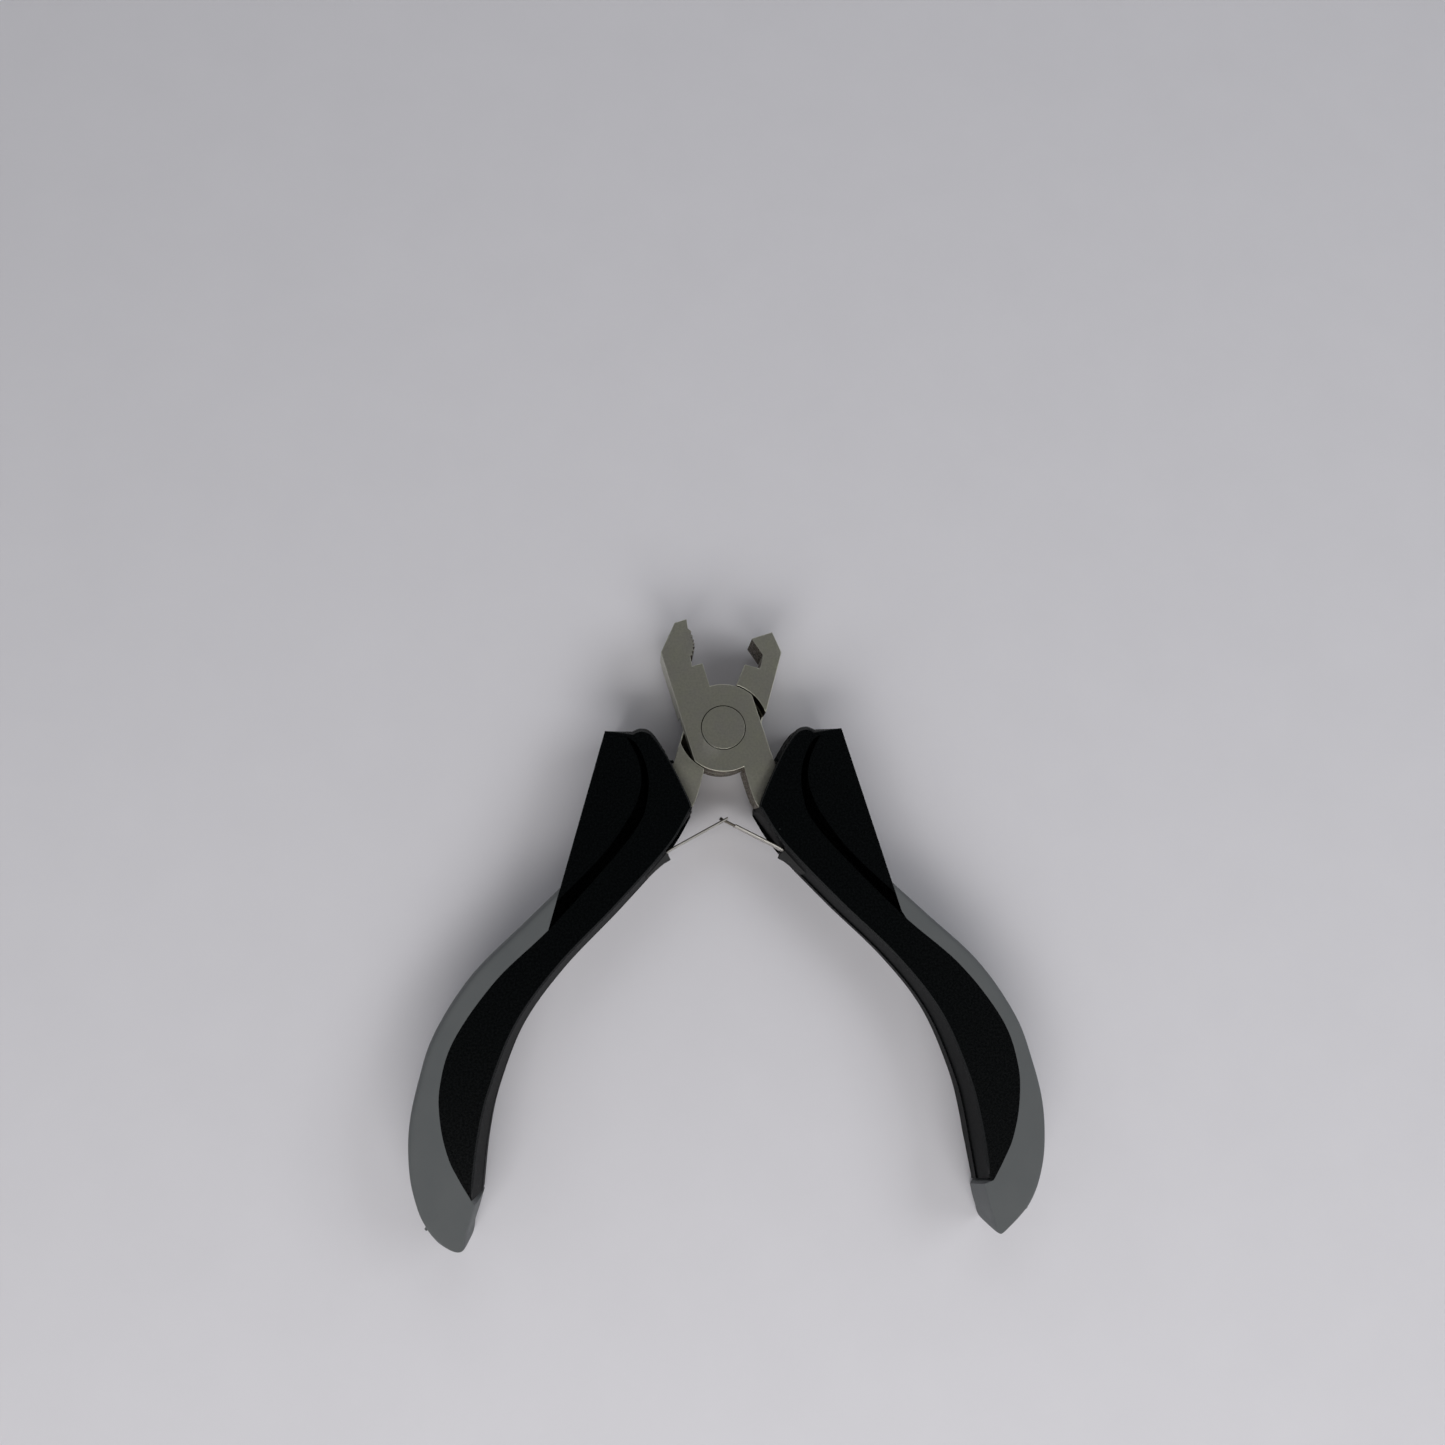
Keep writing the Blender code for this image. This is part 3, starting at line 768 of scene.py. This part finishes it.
def satin_steel():
    """Tumbled tool steel: a fine even grain, small pits and a faint cloudiness."""
    material, shader = new_material("satin_tool_steel", 1.0, 0.4)
    where = place_on(material)
    cloud = noise(material, where, 260.0, 4.0, 0.6)
    pits = noise(material, where, 2300.0, 3.0, 0.6)
    grain = noise(material, where, 7000.0, 2.0)
    links = material.node_tree.links
    plain = ramp(material, cloud, [(0.3, (0.52, 0.505, 0.45)), (0.7, (0.54, 0.54, 0.435))])
    shade = ramp(material, pits, [(0.3, (0.84, 0.84, 0.84)), (0.65, (1.0, 1.0, 1.0))])
    mix = add(material, "ShaderNodeMix", data_type="RGBA", blend_type="MULTIPLY")
    mix.inputs["Factor"].default_value = 1.0
    links.new(plain, mix.inputs["A"])
    links.new(shade, mix.inputs["B"])
    links.new(mix.outputs["Result"], shader.inputs["Base Color"])
    links.new(spread(material, grain, 0.3, 0.7, 0.38, 0.46), shader.inputs["Roughness"])
    bump(material, shader, grain, 0.35, 0.00002)
    return material


def cut_steel():
    """The sides of the steel, left darker by the blanking: upright drag lines and bright burrs."""
    material, shader = new_material("cut_tool_steel", 1.0, 0.5)
    lines = noise(material, place_on(material, (1.0, 1.0, 0.12)), 3500.0, 3.0, 0.6)
    where = place_on(material)
    patches = noise(material, where, 1300.0, 4.0, 0.7)
    burrs = add(material, "ShaderNodeTexVoronoi", vector=where, scale=1700.0).outputs["Distance"]
    links = material.node_tree.links
    worn = ramp(material, patches, [(0.4, (0.05, 0.038, 0.026)), (0.64, (0.32, 0.28, 0.22))])
    spots = ramp(material, burrs, [(0.18, (1.0, 1.0, 1.0)), (0.3, (0.0, 0.0, 0.0))])
    mix = add(material, "ShaderNodeMix", data_type="RGBA")
    links.new(spots, mix.inputs["Factor"])
    links.new(worn, mix.inputs["A"])
    mix.inputs["B"].default_value = (0.62, 0.57, 0.5, 1.0)
    links.new(mix.outputs["Result"], shader.inputs["Base Color"])
    links.new(spread(material, lines, 0.3, 0.7, 0.38, 0.62), shader.inputs["Roughness"])
    bump(material, shader, lines, 0.5, 0.00005)
    return material


def joint_shade_steel():
    """The faces inside the lap joint, painted nearly black as shade."""
    material, shader = new_material("joint_steel_painted_shade", 1.0, 0.5)
    joint_mottle = noise(material, place_on(material), 600.0, 4.0, 0.6)
    links = material.node_tree.links
    color = ramp(material, joint_mottle, [(0.35, (0.012, 0.01, 0.007)), (0.7, (0.07, 0.06, 0.045))])
    links.new(color, shader.inputs["Base Color"])
    links.new(spread(material, joint_mottle, 0.3, 0.7, 0.4, 0.6), shader.inputs["Roughness"])
    bump(material, shader, joint_mottle, 0.2, 0.00004)
    return material


def spring_steel(name, low, high, roughness):
    """Rolled strip with faint lines: its colour runs from low to high."""
    material, shader = new_material(name, 1.0, roughness)
    lines = noise(material, place_on(material, (1.0, 1.0, 8.0)), 900.0, 3.0, 0.6)
    links = material.node_tree.links
    color = ramp(material, lines, [(0.3, low), (0.7, high)])
    links.new(color, shader.inputs["Base Color"])
    dull = spread(material, lines, 0.3, 0.7, roughness - 0.04, roughness + 0.06)
    links.new(dull, shader.inputs["Roughness"])
    bump(material, shader, lines, 0.1, 0.00002)
    return material


def leaf_materials():
    """The strip's faces, its bright rolled edge, and a very dark copy that paints shade on the flat beside
    the edge and over the right leaf's tongue.
    """
    faces = spring_steel("spring_strip_face", (0.46, 0.43, 0.39), (0.56, 0.53, 0.48), 0.3)
    edge = spring_steel("spring_rolled_edge", (0.38, 0.365, 0.335), (0.47, 0.455, 0.42), 0.36)
    flat = spring_steel("spring_flat_painted_shade", (0.09, 0.08, 0.065), (0.15, 0.135, 0.11), 0.4)
    return faces, edge, flat


def black_plastic(name, roughness, specular, grain, painted_light_lift):
    """Moulded plastic with a fine leathery grain and a few specks of dust."""
    material, shader = new_material(name, 0.0, roughness)
    shader.inputs["Specular IOR Level"].default_value = specular
    where = place_on(material)
    links = material.node_tree.links
    fine = noise(material, where, 2400.0, 4.0, 0.6)
    dust = add(material, "ShaderNodeTexVoronoi", vector=where, scale=150.0).outputs["Distance"]
    specks = ramp(material, dust, [(0.012, (1.0, 1.0, 1.0)), (0.02, (0.0, 0.0, 0.0))])
    # The last argument lifts the base colour as painted light: slightly on the walls, strongly on the lip's
    # top face.
    low = [value + painted_light_lift for value in (0.0001, 0.0005, 0.0007)]
    high = [value + painted_light_lift for value in (0.0007, 0.0015, 0.0018)]
    plain = ramp(material, fine, [(0.4, low), (0.7, high)])
    mix = add(material, "ShaderNodeMix", data_type="RGBA")
    links.new(specks, mix.inputs["Factor"])
    links.new(plain, mix.inputs["A"])
    mix.inputs["B"].default_value = (0.1, 0.105, 0.105, 1.0)
    links.new(mix.outputs["Result"], shader.inputs["Base Color"])
    dull = spread(material, fine, 0.3, 0.7, roughness - 0.04, roughness + 0.05)
    links.new(dull, shader.inputs["Roughness"])
    bump(material, shader, fine, grain, 0.00005)
    return material


def grey_rubber():
    """Soft-touch rubber: even grey, faintly clouded, with a very fine tooth."""
    material, shader = new_material("grey_soft_rubber", 0.0, 0.65)
    shader.inputs["Specular IOR Level"].default_value = 0.4
    where = place_on(material)
    links = material.node_tree.links
    cloud = noise(material, where, 160.0, 4.0, 0.55)
    fine = noise(material, where, 5200.0, 2.0)
    color = ramp(material, cloud, [(0.3, (0.096, 0.104, 0.107)), (0.7, (0.106, 0.113, 0.115))])
    links.new(color, shader.inputs["Base Color"])
    links.new(spread(material, fine, 0.3, 0.7, 0.6, 0.72), shader.inputs["Roughness"])
    bump(material, shader, fine, 0.2, 0.00004)
    return material


def paper():
    material, shader = new_material("pale_board", 0.0, 0.85)
    shader.inputs["Specular IOR Level"].default_value = 0.2
    cloud = noise(material, place_on(material), 60.0, 4.0, 0.6)
    color = ramp(material, cloud, [(0.3, (0.735, 0.725, 0.76)), (0.7, (0.75, 0.74, 0.775))])
    material.node_tree.links.new(color, shader.inputs["Base Color"])
    return material


# ---------------------------------------------------------------- stage


def make_floor():
    mesh = bmesh.new()
    bmesh.ops.create_circle(mesh, cap_ends=True, segments=96, radius=FLOOR_RADIUS)
    floor = mesh_object("floor", mesh)
    floor.data.materials.append(paper())


def area_light(name, place, width, height, power, color):
    """A softbox that faces the middle of the floor, its width level."""
    light = bpy.data.lights.new(name, "AREA")
    light.shape = "RECTANGLE"
    light.size = width
    light.size_y = height
    light.energy = power
    light.color = color
    obj = bpy.data.objects.new(name, light)
    bpy.context.scene.collection.objects.link(obj)
    obj.location = place
    obj.rotation_euler = (-Vector(place)).to_track_quat("-Z", "Y").to_euler()


def make_world():
    """A soft room: pale below and round the horizon, dark overhead."""
    world = bpy.data.worlds.new("soft_room")
    world.use_nodes = True
    tree = world.node_tree
    where = tree.nodes.new("ShaderNodeTexCoord")
    parts = tree.nodes.new("ShaderNodeSeparateXYZ")
    tree.links.new(where.outputs["Generated"], parts.inputs[0])
    levels = [(0.0, 1.0), (0.35, 0.85), (0.6, 0.25), (0.8, 0.035), (1.0, 0.02)]
    stops = [(position, (0.94 * value, 0.96 * value, value)) for position, value in levels]
    background = tree.nodes["Background"]
    tree.links.new(ramp(world, parts.outputs["Z"], stops), background.inputs["Color"])
    background.inputs["Strength"].default_value = 0.55
    bpy.context.scene.world = world


def make_lights():
    make_world()
    area_light("key", (-0.03, -0.46, 0.4), 0.7, 0.35, 2.75, (1.0, 0.985, 0.97))
    area_light("right", (0.55, 0.05, 0.45), 0.5, 0.3, 0.95, (0.97, 0.98, 1.0))
    area_light("left", (-0.55, 0.05, 0.45), 0.5, 0.3, 0.22, (0.97, 0.98, 1.0))
    area_light("back", (0.0, 0.5, 0.45), 0.5, 0.3, 0.5, (0.97, 0.98, 1.0))


def make_camera():
    data = bpy.data.cameras.new("camera")
    data.sensor_width = 36.0
    data.lens = 27.0
    data.clip_start = 0.005
    camera = bpy.data.objects.new("camera", data)
    bpy.context.scene.collection.objects.link(camera)
    camera.location = (PIVOT.x + CAMERA_OFFSET[0], PIVOT.y + CAMERA_OFFSET[1], CAMERA_HEIGHT)
    camera.rotation_euler = [math.radians(angle) for angle in CAMERA_ANGLES]
    bpy.context.scene.camera = camera


def main():
    steel, cut, joint_shade, strip = satin_steel(), cut_steel(), joint_shade_steel(), leaf_materials()
    plastic = (
        black_plastic("black_plastic_face", 0.27, 0.35, 0.2, 0.0),
        black_plastic("black_plastic_wall", 0.6, 0.1, 0.4, 0.002),
        # Paler copy for the lip's top face: painted light.
        black_plastic("black_plastic_lip_painted_light", 0.6, 0.3, 0.4, 0.045),
    )
    rubber = grey_rubber()
    pieces = [
        (lever("upper_lever", "serrated_lever", 1, (steel, cut, joint_shade)), "upper_half", "tool_steel"),
        (lever("lower_lever", "hooked_lever", -1, (steel, cut, joint_shade)), "lower_half", "tool_steel"),
        (rivet(steel), "lower_half", "tool_steel"),
    ]
    for name, side, body in (("right", 1, "upper_half"), ("left", -1, "lower_half")):
        pieces.append((grip_core(name, side, plastic), body, "black_plastic"))
        pieces.append((grip_cushion(name, side, rubber), body, "grey_rubber"))
        leaf_spring(name, side, strip)
    for piece, body, slot in pieces:
        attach(piece, body)
    make_floor()
    make_lights()
    make_camera()
    bpy.context.scene.view_settings.view_transform = "Standard"


main()
